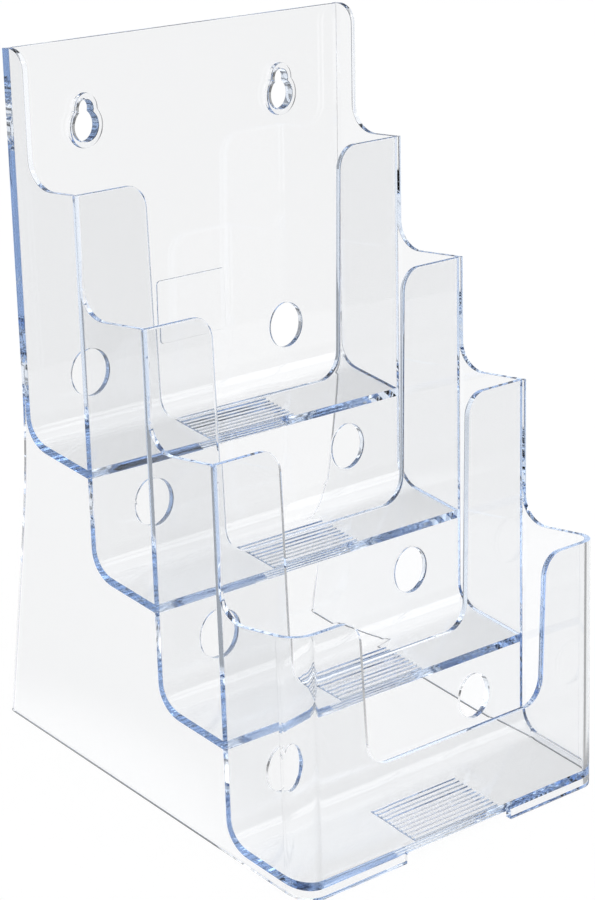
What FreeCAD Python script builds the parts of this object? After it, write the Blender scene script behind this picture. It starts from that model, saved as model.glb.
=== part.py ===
"""Four-tier clear brochure rack: two side walls, four bent sheets and a front panel, all in one clear plastic.

Frame: +Z up, the front faces -Y, +X is to the right of someone facing the front.
The origin is the centre of the bounding box's underside, at table level.

The four pockets and the front panel lean back together. Positions on them are given as
"back" (distance behind the front face of the front panel, square to it) and "up" (distance along it).
Tier 1 is the rearmost, highest pocket and tier 4 the front one.
"""

import FreeCAD, Part
import math
import os

# Driving dimensions, millimetres and degrees
BASE_WIDTH = 169.5
DRAFT = 0.93
LEAN = 15.0
THICKNESS = 2.4
FLOOR_THICKNESS = 3.2
BASE_DEPTH = 160.0
BACK_TOP_UP = 299.8

TIERS = 4
TIER_GAP = 32.4
FRONT_GAP = 37.5
FLOOR_RISE = 35.8
LOWEST_FLOOR = 2.7
BEND_RADIUS = 11.0

FRONT_TOP_UP = 99.8
LOWEST_TAB_UP = 157.6
TAB_RISE = 45.35
FRONT_LIP_UP = 42.3
LIP_ABOVE_FLOOR = 15.4
CUTOUT_LIP_HALF_WIDTH = 49.5
CUTOUT_TOP_HALF_WIDTH = 52.8
CUTOUT_LIP_RADIUS = 11.0
CUTOUT_TOP_RADIUS = 9.5

CORNER_RADIUS = 10.0
STEP_RADIUS = 11.5
TOP_FLANGE = 8.2
TOP_FLANGE_RADIUS = 8.0
REAR_FOOT_ANGLE = 5.5
REAR_FOOT_BLEND = 350.0
REAR_FOOT_RADIUS = 1.2
NOTCH_HALF_WIDTH = 30.0
NOTCH_HEIGHT = 3.9
NOTCH_RADIUS = 1.0

HOLE_RADIUS = 9.0
HOLE_X = 53.7
HOLE_ABOVE_FLOOR = 22.9

KEYHOLE_X = 52.8
KEYHOLE_UP = 267.0
KEYHOLE_RADIUS = 6.0
KEYHOLE_NECK_RADIUS = 3.6
KEYHOLE_NECK_RISE = 6.4
KEYHOLE_RIM_WIDTH = 2.4
KEYHOLE_RIM_HEIGHT = 1.6

RIB_PAD_WIDTH = 48.0
RIB_PITCH = 2.2
RIB_WIDTH = 1.1
RIB_HEIGHT = 0.6
RIB_PAD_BASE = 0.3
RIB_COUNT = 9
FRONT_RIB_COUNT = 11

LABEL_WIDTH = 37.0
LABEL_HEIGHT = 24.5
LABEL_UP = 189.9
LABEL_THICKNESS = 0.4
LABEL_RADIUS = 1.5

CUT_MARGIN = 8.0

# Sizes that follow from the driving dimensions
SIN, COS, TAN = (f(math.radians(LEAN)) for f in (math.sin, math.cos, math.tan))
BACK_BACK = FRONT_GAP + (TIERS - 1) * TIER_GAP
REAR_BACK = BACK_BACK + THICKNESS
FAR = 2 * BASE_WIDTH
OVERALL_DEPTH = REAR_BACK * COS + BACK_TOP_UP * SIN
CENTRE_Y = OVERALL_DEPTH / 2

X_AXIS = FreeCAD.Vector(1, 0, 0)
BACK_AXIS = FreeCAD.Vector(0, COS, -SIN)
UP_AXIS = FreeCAD.Vector(0, SIN, COS)


def leaning(x, back, up):
    """A point on the leaning planes."""
    return FreeCAD.Vector(x, back * COS + up * SIN - CENTRE_Y, up * COS - back * SIN)


def level(x, depth, height):
    """A point measured level: depth behind the foot of the front panel, height above the table."""
    return FreeCAD.Vector(x, depth - CENTRE_Y, height)


def depth_at(back, height):
    """Level depth of the leaning plane at this distance back, at this height."""
    return (back + height * SIN) / COS


def up_at(back, height):
    """Distance up the leaning plane at this distance back, where it reaches this height."""
    return (height + back * SIN) / COS


def half_width(up):
    """Half the outer width at this distance up: the side walls draw in towards the foot."""
    return BASE_WIDTH / 2 + up * math.tan(math.radians(DRAFT))


def tier_back(tier):
    """Front face of the wall in front of this tier; tier 0 is the back panel itself."""
    return 0.0 if tier == TIERS else FRONT_GAP + (TIERS - 1 - tier) * TIER_GAP


def floor_height(tier):
    """Height of the underside of this tier's floor."""
    return LOWEST_FLOOR + (TIERS - tier) * FLOOR_RISE


def tab_up(tier):
    """Top of the two tabs beside the cut-out in front of this tier."""
    return FRONT_TOP_UP if tier == TIERS else LOWEST_TAB_UP + (TIERS - 1 - tier) * TAB_RISE


def lip_up(tier):
    """Bottom of the cut-out in front of this tier."""
    if tier == TIERS:
        return FRONT_LIP_UP
    return up_at(tier_back(tier), floor_height(tier)) + LIP_ABOVE_FLOOR


def outline(corners):
    """Closed wire through (point, radius) corners, each one rounded to its radius by a tangent arc."""
    starts, ends, middles = [], [], []
    for i, (corner, radius) in enumerate(corners):
        before = (corners[i - 1][0] - corner).normalize()
        after = (corners[(i + 1) % len(corners)][0] - corner).normalize()
        half_angle = before.getAngle(after) / 2
        reach = radius / math.tan(half_angle)
        bisector = (before + after).normalize()
        starts.append(corner + before * reach)
        ends.append(corner + after * reach)
        middles.append(corner + bisector * (radius / math.sin(half_angle) - radius))
    edges = []
    for i, (corner, radius) in enumerate(corners):
        if radius:
            edges.append(Part.Arc(starts[i], middles[i], ends[i]).toShape())
        following = starts[(i + 1) % len(corners)]
        if ends[i].distanceToPoint(following) > 1e-6:
            edges.append(Part.LineSegment(ends[i], following).toShape())
    return Part.Wire(edges)


def prism(corners, direction):
    """Solid made by sweeping a rounded outline along a direction."""
    return Part.Face(outline(corners)).extrude(direction)


def circle_prism(x, back, up, radius, length):
    """Round bar square to the leaning planes, running rearwards from the point."""
    return Part.makeCylinder(radius, length, leaning(x, back, up), BACK_AXIS)


def cutout_tool(tier):
    """Everything above the wall in front of a tier: the air over both tabs and the cut-out between them."""
    back = tier_back(tier) - CUT_MARGIN
    top, lip = tab_up(tier), lip_up(tier)
    half = [
        (FAR, top + 2 * CUT_MARGIN, 0.0),
        (FAR, top, 0.0),
        (CUTOUT_TOP_HALF_WIDTH, top, CUTOUT_TOP_RADIUS),
        (CUTOUT_LIP_HALF_WIDTH, lip, CUTOUT_LIP_RADIUS),
    ]
    right = [(leaning(x, back, up), radius) for x, up, radius in half]
    left = [(leaning(-x, back, up), radius) for x, up, radius in reversed(half)]
    return prism(right + left, BACK_AXIS * (THICKNESS + 2 * CUT_MARGIN))


def keyhole(x, back, growth, length):
    """Keyhole-shaped bar: a wide round below a narrower one, both grown outwards by the growth."""
    wide = circle_prism(x, back, KEYHOLE_UP, KEYHOLE_RADIUS + growth, length)
    narrow = circle_prism(x, back, KEYHOLE_UP + KEYHOLE_NECK_RISE, KEYHOLE_NECK_RADIUS + growth, length)
    return wide.fuse(narrow).removeSplitter()


def front_uprights(block, back):
    """The block's edges that run up its front face, which is this far back."""
    uprights = []
    for edge in block.Edges:
        foot, head = (vertex.Point for vertex in edge.Vertexes)
        on_front = all(abs((end - leaning(0, back, 0)).dot(BACK_AXIS)) < 1e-6 for end in (foot, head))
        if on_front and abs((head - foot).dot(UP_AXIS)) > 1e-6:
            uprights.append(edge)
    return uprights


def tapered_block(inset, reach):
    """The rack's leaning body, widening upwards with rounded front corners, all round inset by this much."""
    low, high = -2 * CUT_MARGIN, BACK_TOP_UP + 2 * CUT_MARGIN
    x_low, x_high = half_width(low) - inset, half_width(high) - inset
    corners = [
        (leaning(-x_low, inset, low), 0.0),
        (leaning(x_low, inset, low), 0.0),
        (leaning(x_high, inset, high), 0.0),
        (leaning(-x_high, inset, high), 0.0),
    ]
    block = prism(corners, BACK_AXIS * (reach - inset))
    return block.makeFillet(CORNER_RADIUS - inset, front_uprights(block, inset))


def outer_shell():
    """The outer skin of the leaning body, one wall thick and open at the back."""
    return tapered_block(0.0, FAR).cut(tapered_block(THICKNESS, 2 * FAR))


def cut_at_table(shape):
    """The shape without whatever is below table level."""
    return shape.cut(Part.makeBox(2 * FAR, 2 * FAR, FAR, FreeCAD.Vector(-FAR, -FAR, -FAR)))


def side_wall(side):
    """Full-height side wall with its stepped upper edge; side is -1 for left and 1 for right."""
    x = 0.0
    corners = [
        (leaning(x, CORNER_RADIUS, CORNER_RADIUS * TAN), 0.0),
        (leaning(x, CORNER_RADIUS, FRONT_TOP_UP), 0.0),
    ]
    for tier in range(TIERS, 1, -1):
        next_back = tier_back(tier - 1)
        corners.append((leaning(x, next_back, tab_up(tier)), STEP_RADIUS))
        corners.append((leaning(x, next_back, tab_up(tier - 1)), 0.0))
    flange_back = BACK_BACK - TOP_FLANGE
    corners.append((leaning(x, flange_back, tab_up(1)), STEP_RADIUS))
    corners.append((leaning(x, flange_back, BACK_TOP_UP), TOP_FLANGE_RADIUS))
    corners.append((leaning(x, REAR_BACK, BACK_TOP_UP), 0.0))
    foot_slope = math.tan(math.radians(REAR_FOOT_ANGLE))
    knee_height = (BASE_DEPTH - REAR_BACK / COS) / (TAN - foot_slope)
    corners.append((level(x, BASE_DEPTH + knee_height * foot_slope, knee_height), REAR_FOOT_BLEND))
    corners.append((level(x, BASE_DEPTH, 0.0), REAR_FOOT_RADIUS))
    return prism(corners, X_AXIS * (side * FAR)).common(outer_shell())


def bent_sheet(tier):
    """Back panel and floor of one tier, bent from one sheet; its top is the wall in front of the tier behind."""
    back = tier_back(tier - 1)
    front = tier_back(tier) + THICKNESS
    low = floor_height(tier)
    high = low + FLOOR_THICKNESS
    top = BACK_TOP_UP if tier == 1 else tab_up(tier - 1) + CUT_MARGIN
    x = -FAR / 2
    profile = [
        (leaning(x, back, top), 0.0),
        (level(x, depth_at(back, high), high), BEND_RADIUS),
        (level(x, depth_at(front, high), high), 0.0),
        (level(x, depth_at(front, low), low), 0.0),
        (level(x, depth_at(back + THICKNESS, low), low), BEND_RADIUS + THICKNESS),
        (leaning(x, back + THICKNESS, top), 0.0),
    ]
    sheet = prism(profile, X_AXIS * FAR).common(tapered_block(THICKNESS, 2 * BACK_BACK))
    hole_up = up_at(back, low) + HOLE_ABOVE_FLOOR
    through = THICKNESS + 2 * CUT_MARGIN
    for side in (-1, 1):
        sheet = sheet.cut(circle_prism(side * HOLE_X, back - CUT_MARGIN, hole_up, HOLE_RADIUS, through))
    if tier > 1:
        sheet = sheet.cut(cutout_tool(tier - 1))
    return sheet


def back_sheet():
    """The rearmost sheet, with the two keyholes through its back panel."""
    sheet = bent_sheet(1)
    for side in (-1, 1):
        through = THICKNESS + 2 * CUT_MARGIN
        sheet = sheet.cut(keyhole(side * KEYHOLE_X, BACK_BACK - CUT_MARGIN, 0.0, through))
    return sheet


def front_panel():
    """Front wall of the lowest pocket: rounded corners, a wide cut-out above and a low notch at the table."""
    x = -FAR / 2
    front_slab = prism(
        [
            (leaning(x, -CUT_MARGIN, -CUT_MARGIN), 0.0),
            (leaning(x, CORNER_RADIUS, -CUT_MARGIN), 0.0),
            (leaning(x, CORNER_RADIUS, FRONT_TOP_UP + CUT_MARGIN), 0.0),
            (leaning(x, -CUT_MARGIN, FRONT_TOP_UP + CUT_MARGIN), 0.0),
        ],
        X_AXIS * FAR,
    )
    notch = prism(
        [
            (level(-NOTCH_HALF_WIDTH, -CUT_MARGIN, -CUT_MARGIN), 0.0),
            (level(NOTCH_HALF_WIDTH, -CUT_MARGIN, -CUT_MARGIN), 0.0),
            (level(NOTCH_HALF_WIDTH, -CUT_MARGIN, NOTCH_HEIGHT), NOTCH_RADIUS),
            (level(-NOTCH_HALF_WIDTH, -CUT_MARGIN, NOTCH_HEIGHT), NOTCH_RADIUS),
        ],
        FreeCAD.Vector(0, THICKNESS + 2 * CUT_MARGIN, 0),
    )
    return cut_at_table(outer_shell().common(front_slab).cut(cutout_tool(TIERS)).cut(notch))


def keyhole_rim(side):
    """Raised rim round one keyhole, on the front of the back panel."""
    back = BACK_BACK - KEYHOLE_RIM_HEIGHT
    x = side * KEYHOLE_X
    body = keyhole(x, back, KEYHOLE_RIM_WIDTH, KEYHOLE_RIM_HEIGHT)
    return body.cut(keyhole(x, back - CUT_MARGIN, 0.0, KEYHOLE_RIM_HEIGHT + 2 * CUT_MARGIN))


def rib_pad(tier):
    """Patch of low ribs across the middle of a floor, from the wall in front of it rearwards."""
    floor = floor_height(tier) + FLOOR_THICKNESS
    base, crest = floor + RIB_PAD_BASE, floor + RIB_PAD_BASE + RIB_HEIGHT
    front = depth_at(tier_back(tier) + THICKNESS, crest)
    count = FRONT_RIB_COUNT if tier == TIERS else RIB_COUNT
    gap = RIB_PITCH - RIB_WIDTH
    x = -RIB_PAD_WIDTH / 2
    profile = [(level(x, front, floor), 0.0)]
    for i in range(count):
        start = front + i * RIB_PITCH
        slope = RIB_WIDTH / 4
        profile += [
            (level(x, start, base), 0.0),
            (level(x, start + slope, crest), 0.0),
            (level(x, start + RIB_WIDTH - slope, crest), 0.0),
            (level(x, start + RIB_WIDTH, base), 0.0),
        ]
    profile.append((level(x, front + count * RIB_PITCH - gap / 2, base), 0.0))
    profile.append((level(x, front + count * RIB_PITCH - gap / 2, floor), 0.0))
    return prism(profile, X_AXIS * RIB_PAD_WIDTH)


def label_plate():
    """Thin blank plate raised on the front of the back panel."""
    corners = [
        (leaning(x, BACK_BACK - LABEL_THICKNESS, LABEL_UP + up), LABEL_RADIUS)
        for x, up in (
            (-LABEL_WIDTH / 2, -LABEL_HEIGHT / 2),
            (LABEL_WIDTH / 2, -LABEL_HEIGHT / 2),
            (LABEL_WIDTH / 2, LABEL_HEIGHT / 2),
            (-LABEL_WIDTH / 2, LABEL_HEIGHT / 2),
        )
    ]
    return prism(corners, BACK_AXIS * LABEL_THICKNESS)


def build():
    parts = {
        "left_side_wall": side_wall(-1),
        "right_side_wall": side_wall(1),
        "tier_1_back_and_floor": back_sheet(),
        "front_panel": front_panel(),
        "left_keyhole_rim": keyhole_rim(-1),
        "right_keyhole_rim": keyhole_rim(1),
        "blank_label_plate": label_plate(),
    }
    for tier in range(2, TIERS + 1):
        parts[f"tier_{tier}_back_and_floor"] = bent_sheet(tier)
    for tier in range(1, TIERS + 1):
        parts[f"tier_{tier}_rib_pad"] = rib_pad(tier)
    return parts


os.makedirs("parts", exist_ok=True)
for node, shape in build().items():
    shape.exportStep(f"parts/{node}.step")
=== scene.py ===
"""Looks of the clear brochure rack: glass-clear blue-edged plastic on a pale studio floor."""

import math

import bpy
from mathutils import Matrix, Vector
from mathutils.bvhtree import BVHTree


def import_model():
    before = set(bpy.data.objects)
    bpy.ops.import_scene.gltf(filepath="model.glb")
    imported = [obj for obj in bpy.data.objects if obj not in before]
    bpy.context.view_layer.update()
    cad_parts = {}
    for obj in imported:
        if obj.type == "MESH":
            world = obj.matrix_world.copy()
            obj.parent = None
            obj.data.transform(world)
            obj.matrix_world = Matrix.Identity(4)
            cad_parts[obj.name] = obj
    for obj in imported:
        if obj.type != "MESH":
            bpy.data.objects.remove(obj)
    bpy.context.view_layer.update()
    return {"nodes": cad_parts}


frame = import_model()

# Camera: the photo's viewing angle (degrees), distance and aim (metres), lens (mm)
CAMERA_AZIMUTH = -50.12
CAMERA_ELEVATION = 23.33
CAMERA_ROLL = 10.27
CAMERA_DISTANCE = 1.2064
CAMERA_AIM = Vector((-0.0030, 0.0063, 0.1311))
CAMERA_LENS = 126.87
CAMERA_SHIFT = (-0.0049, -0.0401)
CAMERA_SENSOR = 36
CAMERA_NEAR = 0.05

# Plastic: what it does to light, and the noise behind its waviness and haze (scale, detail)
PLASTIC_IOR = 1.57
ABSORPTION = 9.0
ABSORPTION_COLOUR = (0.22, 0.45, 0.76, 1)
LAMP_PASSES = (0.985, 0.988, 0.992, 1)
WAVE_NOISE = (30.0, 0.0)
HAZE_NOISE = (420.0, 2.0)
HAZE_FROM, HAZE_FULL = 0.55, 0.80

# Where pieces touch (metres): each face moves in by SHRINK, the bond looks BOND_REACH across the
# gap and takes less open sky than BOND_BELOW as a neighbour, and an edge within TOUCHING is shared
SHRINK = 0.00003
BOND_REACH = 0.0002
BOND_BELOW = 0.75
TOUCHING = 0.0001

# Mesh clean-up: vertices joined (metres), faces taken as flat, and steps per metre to match edges by
WELD_DISTANCE = 1e-6
FLAT_ANGLE = math.radians(0.3)
KEY_STEPS = 1e6

# Moulded edges: how far each is rounded (metres) and in how many steps
EDGE = (0.0008, 4)
RIM_EDGE = (0.0004, 3)
RIB_EDGE = (0.00015, 2)
PLATE_EDGE = (0.00015, 2)
SHARP_ANGLE = math.radians(40)

# Floor (metres) and its glow: seen directly, then after one reflection, then after more
FLOOR_HALF_SIZE = 6.0
FLOOR_DROP = 0.0002
FLOOR_ALBEDO = (0.12, 0.12, 0.12, 1)
FLOOR_GLOW = 0.91
FLOOR_MIRRORED_GLOW = 0.30
BESIDE_GLOW = 0.60
BESIDE_X, BESIDE_Y = (0.10, 0.13), (-0.12, -0.09)
GUIDED_GLOW_REAR = 0.95
RIGHT_NEAR, RIGHT_FAR = 0.18, 0.45
RIGHT_NEAR_GLOW, RIGHT_FAR_GLOW = 0.85, 0.30
GUIDED_BLEND = 0.12
GUIDED_SLANT = 0.5
POOL_GLOW = 0.6
POOL_FULL, POOL_END = 0.09, 0.14

# Soft lights of the studio: direction, cosine where each begins and where it is full, brightness
CEILING = ((0, 0, 1), 0.50, 0.80, 1.1)
LEFT = ((-1.0, 0.1, 0.35), 0.86, 0.97, 0.7)
REAR = ((0.3, 1.0, 0.1), 0.70, 0.97, 0.5)
SOFTBOX = ((0.70, -0.43, 0.57), 0.992, 0.999, 2.9)

# The rest of the studio: direct, in one reflection, and as uneven patches after more, which go from
# one value of the noise to another and from their dimmest to their brightest
BACKDROP = 1.0
DIM_WALLS = 0.20
PATCH_NOISE = (3.2, 1.0)
PATCHES = (0.42, 0.60, 0.10, 1.22)

# Light paths: clear sheets pass light on many times
BOUNCES = 64
TRANSPARENT_BOUNCES = 32


def node(tree, kind, **values):
    made = tree.nodes.new(kind)
    for name, value in values.items():
        setattr(made, name, value)
    return made


def feed(tree, socket, value):
    """Give an input a link if the value is a socket, otherwise a plain value."""
    if isinstance(value, bpy.types.NodeSocket):
        tree.links.new(value, socket)
    else:
        socket.default_value = value


def maths(tree, operation, *values, clamp=False):
    made = node(tree, "ShaderNodeMath", operation=operation, use_clamp=clamp)
    for socket, value in zip(made.inputs, values):
        feed(tree, socket, value)
    return made.outputs[0]


def spread(tree, value, low, high, at_low, at_high):
    """Remap a value smoothly from one range to another."""
    made = node(tree, "ShaderNodeMapRange", interpolation_type="SMOOTHSTEP")
    for socket, given in zip(made.inputs, (value, low, high, at_low, at_high)):
        feed(tree, socket, given)
    return made.outputs["Result"]


def noise(tree, position, scale, detail, stretch=(1, 1, 1)):
    scaled = node(tree, "ShaderNodeVectorMath", operation="MULTIPLY")
    feed(tree, scaled.inputs[0], position)
    scaled.inputs[1].default_value = stretch
    made = node(tree, "ShaderNodeTexNoise")
    feed(tree, made.inputs["Vector"], scaled.outputs[0])
    made.inputs["Scale"].default_value = scale
    made.inputs["Detail"].default_value = detail
    return made.outputs[0]


def bonded(tree):
    """1 where the surface lies against a neighbouring piece, as the real moulding is continuous there."""
    geometry = node(tree, "ShaderNodeNewGeometry")
    outward = node(tree, "ShaderNodeVectorMath", operation="SCALE")
    feed(tree, outward.inputs[0], geometry.outputs["True Normal"])
    side = maths(tree, "MULTIPLY_ADD", geometry.outputs["Backfacing"], -2.0, 1.0)
    feed(tree, outward.inputs["Scale"], side)
    occlusion = node(tree, "ShaderNodeAmbientOcclusion", samples=2)
    occlusion.inputs["Distance"].default_value = BOND_REACH
    feed(tree, occlusion.inputs["Normal"], outward.outputs[0])
    return maths(tree, "LESS_THAN", occlusion.outputs["AO"], BOND_BELOW)


def clear_plastic(name, waves, haze, stretch):
    """Clear plastic with a faint moulding waviness (bump depth in metres) and a little surface haze."""
    mat = bpy.data.materials.new(name)
    mat.use_nodes = True
    t = mat.node_tree
    t.nodes.clear()
    position = node(t, "ShaderNodeTexCoord").outputs["Object"]
    slow = noise(t, position, *WAVE_NOISE, stretch)
    fine = noise(t, position, *HAZE_NOISE)

    plastic = node(t, "ShaderNodeBsdfPrincipled")
    plastic.inputs["Base Color"].default_value = (1, 1, 1, 1)
    plastic.inputs["IOR"].default_value = PLASTIC_IOR
    plastic.inputs["Transmission Weight"].default_value = 1.0
    feed(t, plastic.inputs["Roughness"], spread(t, fine, HAZE_FROM, HAZE_FULL, 0.0, haze))
    bump = node(t, "ShaderNodeBump")
    bump.inputs["Strength"].default_value = 1.0
    bump.inputs["Distance"].default_value = waves
    feed(t, bump.inputs["Height"], slow)
    feed(t, plastic.inputs["Normal"], bump.outputs[0])

    clear = node(t, "ShaderNodeBsdfTransparent")
    clear.inputs["Color"].default_value = LAMP_PASSES
    lamps = node(t, "ShaderNodeMixShader")
    feed(t, lamps.inputs[0], node(t, "ShaderNodeLightPath").outputs["Is Shadow Ray"])
    feed(t, lamps.inputs[1], plastic.outputs[0])
    feed(t, lamps.inputs[2], clear.outputs[0])

    joined = node(t, "ShaderNodeBsdfTransparent")
    seam = node(t, "ShaderNodeMixShader")
    feed(t, seam.inputs[0], bonded(t))
    feed(t, seam.inputs[1], lamps.outputs[0])
    feed(t, seam.inputs[2], joined.outputs[0])

    inside = node(t, "ShaderNodeVolumeAbsorption")
    inside.inputs["Color"].default_value = ABSORPTION_COLOUR
    inside.inputs["Density"].default_value = ABSORPTION
    out = node(t, "ShaderNodeOutputMaterial")
    feed(t, out.inputs["Surface"], seam.outputs[0])
    feed(t, out.inputs["Volume"], inside.outputs[0])
    return mat


def tree_of(o):
    matrix = o.matrix_world
    points = [matrix @ v.co for v in o.data.vertices]
    return BVHTree.FromPolygons(points, [p.vertices[:] for p in o.data.polygons])


def edge_faces(o):
    """Face normals on either side of each edge, found by the edge's middle, as the mesh may be split."""
    sides = {}
    for poly in o.data.polygons:
        for key in poly.edge_keys:
            sides.setdefault(middle_key(o, key), []).append(poly.normal.copy())
    return sides


def middle_of(o, vertices):
    a, b = (o.data.vertices[i].co for i in vertices)
    return (a + b) / 2


def middle_key(o, vertices):
    return tuple(round(c * KEY_STEPS) for c in middle_of(o, vertices))


def mark_edges(o, neighbours):
    """Weight the sharp edges for rounding, but keep those lying against another piece sharp."""
    sides = edge_faces(o)
    weights = o.data.attributes.new("bevel_weight_edge", "FLOAT", "EDGE")
    for edge in o.data.edges:
        normals = sides[middle_key(o, edge.vertices)]
        sharp = len(normals) > 1 and normals[0].angle(normals[1], 0.0) > SHARP_ANGLE
        if not sharp:
            continue
        middle = o.matrix_world @ middle_of(o, edge.vertices)
        near = any(tree.find_nearest(middle, TOUCHING)[0] is not None for tree in neighbours)
        if near:
            edge.use_edge_sharp = True
        else:
            weights.data[edge.index].value = 1.0


def dress(o, mat, edge, neighbours):
    """Material, smooth shading and rounded edges: modifiers round them, so CAD vertices stay as packed."""
    o.data.materials.clear()
    o.data.materials.append(mat)
    if "custom_normal" in o.data.attributes:
        o.data.attributes.remove(o.data.attributes["custom_normal"])
    for poly in o.data.polygons:
        poly.use_smooth = True
    mark_edges(o, neighbours)
    weld = o.modifiers.new("weld", "WELD")
    weld.merge_threshold = WELD_DISTANCE
    flat = o.modifiers.new("flat", "DECIMATE")
    flat.decimate_type = "DISSOLVE"
    flat.angle_limit = FLAT_ANGLE
    shrink = o.modifiers.new("bond_gap", "DISPLACE")
    shrink.strength = -SHRINK
    shrink.mid_level = 0.0
    edges = o.modifiers.new("soft_edges", "BEVEL")
    edges.width, edges.segments = edge
    edges.limit_method = "WEIGHT"
    edges.use_clamp_overlap = True
    normals = o.modifiers.new("normals", "WEIGHTED_NORMAL")
    normals.keep_sharp = True


def camera():
    cam = bpy.data.objects.new("camera", bpy.data.cameras.new("camera"))
    bpy.context.scene.collection.objects.link(cam)
    az, el = math.radians(CAMERA_AZIMUTH), math.radians(CAMERA_ELEVATION)
    back = Vector((math.sin(az) * math.cos(el), -math.cos(az) * math.cos(el), math.sin(el)))
    place = Matrix.Translation(CAMERA_AIM + back * CAMERA_DISTANCE)
    turn = (-back).to_track_quat("-Z", "Y").to_matrix().to_4x4()
    roll = Matrix.Rotation(math.radians(CAMERA_ROLL), 4, "Z")
    cam.matrix_world = place @ turn @ roll
    cam.data.lens = CAMERA_LENS
    cam.data.sensor_width = CAMERA_SENSOR
    cam.data.shift_x, cam.data.shift_y = CAMERA_SHIFT
    cam.data.clip_start = CAMERA_NEAR
    bpy.context.scene.camera = cam


def by_reflections(tree, direct, once, often):
    """A value each for light seen directly or straight through, after one reflection, and after more."""
    depth = node(tree, "ShaderNodeLightPath").outputs["Glossy Depth"]
    low = node(tree, "ShaderNodeMix")
    feed(tree, low.inputs[0], maths(tree, "MINIMUM", depth, 1.0))
    feed(tree, low.inputs[2], direct)
    feed(tree, low.inputs[3], once)
    high = node(tree, "ShaderNodeMix")
    feed(tree, high.inputs[0], maths(tree, "SUBTRACT", depth, 1.0, clamp=True))
    feed(tree, high.inputs[2], low.outputs[0])
    feed(tree, high.inputs[3], often)
    return high.outputs[0]


def floor():
    """Pale floor: bright where seen directly, and in reflections a fading pool of light and a lit side."""
    mesh = bpy.data.meshes.new("floor")
    r = FLOOR_HALF_SIZE
    mesh.from_pydata([(-r, -r, 0), (r, -r, 0), (r, r, 0), (-r, r, 0)], [], [(0, 1, 2, 3)])
    o = bpy.data.objects.new("floor", mesh)
    o.location.z = -FLOOR_DROP
    bpy.context.scene.collection.objects.link(o)
    mat = bpy.data.materials.new("floor")
    mat.use_nodes = True
    t = mat.node_tree
    t.nodes.clear()
    position = node(t, "ShaderNodeTexCoord").outputs["Object"]
    reach = node(t, "ShaderNodeVectorMath", operation="LENGTH")
    feed(t, reach.inputs[0], position)
    pool = spread(t, reach.outputs["Value"], POOL_FULL, POOL_END, POOL_GLOW, 0.0)
    split = node(t, "ShaderNodeSeparateXYZ")
    feed(t, split.inputs[0], position)
    outward = spread(t, split.outputs["X"], *BESIDE_X, 0.0, 1.0)
    rearward = spread(t, split.outputs["Y"], *BESIDE_Y, 0.0, BESIDE_GLOW)
    beside = maths(t, "MULTIPLY", outward, rearward)
    mirrored = maths(t, "ADD", maths(t, "ADD", pool, beside), FLOOR_MIRRORED_GLOW)
    across = maths(t, "MULTIPLY_ADD", split.outputs["X"], -GUIDED_SLANT, split.outputs["Y"])
    right_glow = (RIGHT_NEAR, RIGHT_FAR, RIGHT_NEAR_GLOW, RIGHT_FAR_GLOW)
    right = spread(t, reach.outputs["Value"], *right_glow)
    side = spread(t, across, -GUIDED_BLEND, GUIDED_BLEND, right, GUIDED_GLOW_REAR)
    guided = maths(t, "ADD", pool, side)
    glow = node(t, "ShaderNodeEmission")
    feed(t, glow.inputs["Strength"], by_reflections(t, FLOOR_GLOW, mirrored, guided))
    matt = node(t, "ShaderNodeBsdfDiffuse")
    matt.inputs["Color"].default_value = FLOOR_ALBEDO
    both = node(t, "ShaderNodeAddShader")
    feed(t, both.inputs[0], glow.outputs[0])
    feed(t, both.inputs[1], matt.outputs[0])
    out = node(t, "ShaderNodeOutputMaterial")
    feed(t, out.inputs["Surface"], both.outputs[0])
    mesh.materials.append(mat)


def window(tree, direction, towards, low, high, brightness):
    """Soft bright patch of the studio round one direction."""
    dot = node(tree, "ShaderNodeVectorMath", operation="DOT_PRODUCT")
    feed(tree, dot.inputs[0], direction)
    dot.inputs[1].default_value = Vector(towards).normalized()
    return spread(tree, dot.outputs["Value"], low, high, 0.0, brightness)


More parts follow.
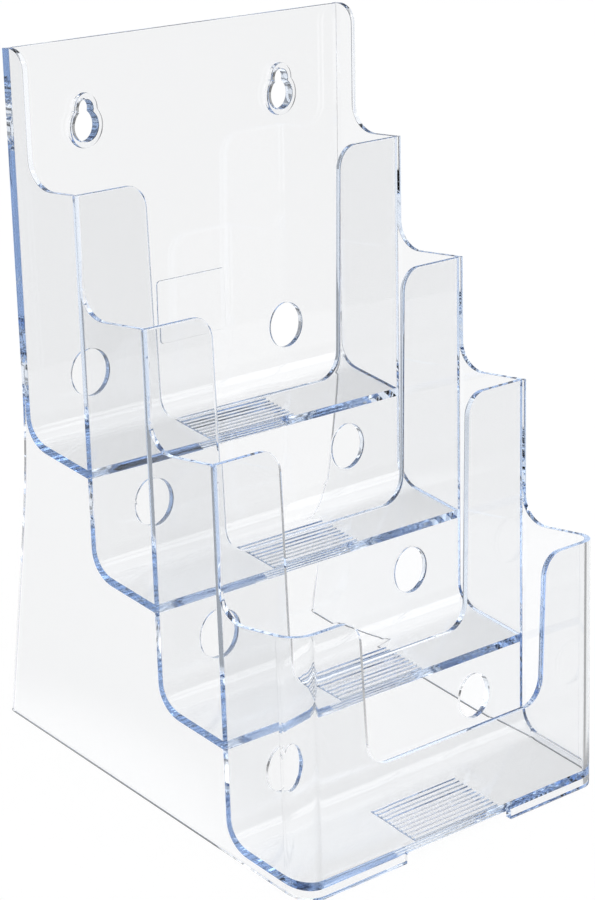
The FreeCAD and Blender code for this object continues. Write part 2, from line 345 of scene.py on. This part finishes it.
def world():
    """Studio: white behind the rack, dim with a few soft lights in reflections."""
    w = bpy.data.worlds.new("studio")
    bpy.context.scene.world = w
    w.use_nodes = True
    t = w.node_tree
    t.nodes.clear()
    direction = node(t, "ShaderNodeTexCoord").outputs["Generated"]
    ceiling = window(t, direction, *CEILING)
    left = window(t, direction, *LEFT)
    rear = window(t, direction, *REAR)
    softbox = window(t, direction, *SOFTBOX)
    lights = maths(t, "ADD", maths(t, "ADD", ceiling, left), maths(t, "ADD", softbox, rear))
    patches = spread(t, noise(t, direction, *PATCH_NOISE), *PATCHES)
    once = maths(t, "ADD", lights, DIM_WALLS)
    often = maths(t, "ADD", patches, lights)
    background = node(t, "ShaderNodeBackground")
    feed(t, background.inputs["Strength"], by_reflections(t, BACKDROP, once, often))
    out = node(t, "ShaderNodeOutputWorld")
    feed(t, out.inputs[0], background.outputs[0])


def finishes():
    """Plastic (waves in metres, haze, stretch) and edge of each kind, by the last word of its name."""
    return {
        "wall": (clear_plastic("clear_wall", 0.00008, 0.02, (1.0, 1.0, 0.35)), EDGE),
        "floor": (clear_plastic("clear_sheet", 0.00006, 0.01, (0.4, 1.0, 1.0)), EDGE),
        "panel": (clear_plastic("clear_front", 0.00006, 0.02, (0.5, 1.0, 1.0)), EDGE),
        "pad": (clear_plastic("clear_ribs", 0.0, 0.0, (1.0, 1.0, 1.0)), RIB_EDGE),
        "rim": (clear_plastic("clear_rim", 0.00002, 0.03, (1.0, 1.0, 1.0)), RIM_EDGE),
        "plate": (clear_plastic("clear_plate", 0.00002, 0.12, (1.0, 1.0, 1.0)), PLATE_EDGE),
    }


def dress_all():
    kinds = finishes()
    nodes = frame["nodes"]
    trees = {name: tree_of(o) for name, o in nodes.items()}
    for name, o in nodes.items():
        neighbours = [tree for other, tree in trees.items() if other != name]
        mat, edge = kinds[name.split("_")[-1]]
        dress(o, mat, edge, neighbours)


def settings():
    scene = bpy.context.scene
    scene.view_settings.view_transform = "Standard"
    scene.cycles.max_bounces = BOUNCES
    scene.cycles.transmission_bounces = BOUNCES
    scene.cycles.glossy_bounces = BOUNCES
    scene.cycles.transparent_max_bounces = TRANSPARENT_BOUNCES


dress_all()
camera()
floor()
world()
settings()
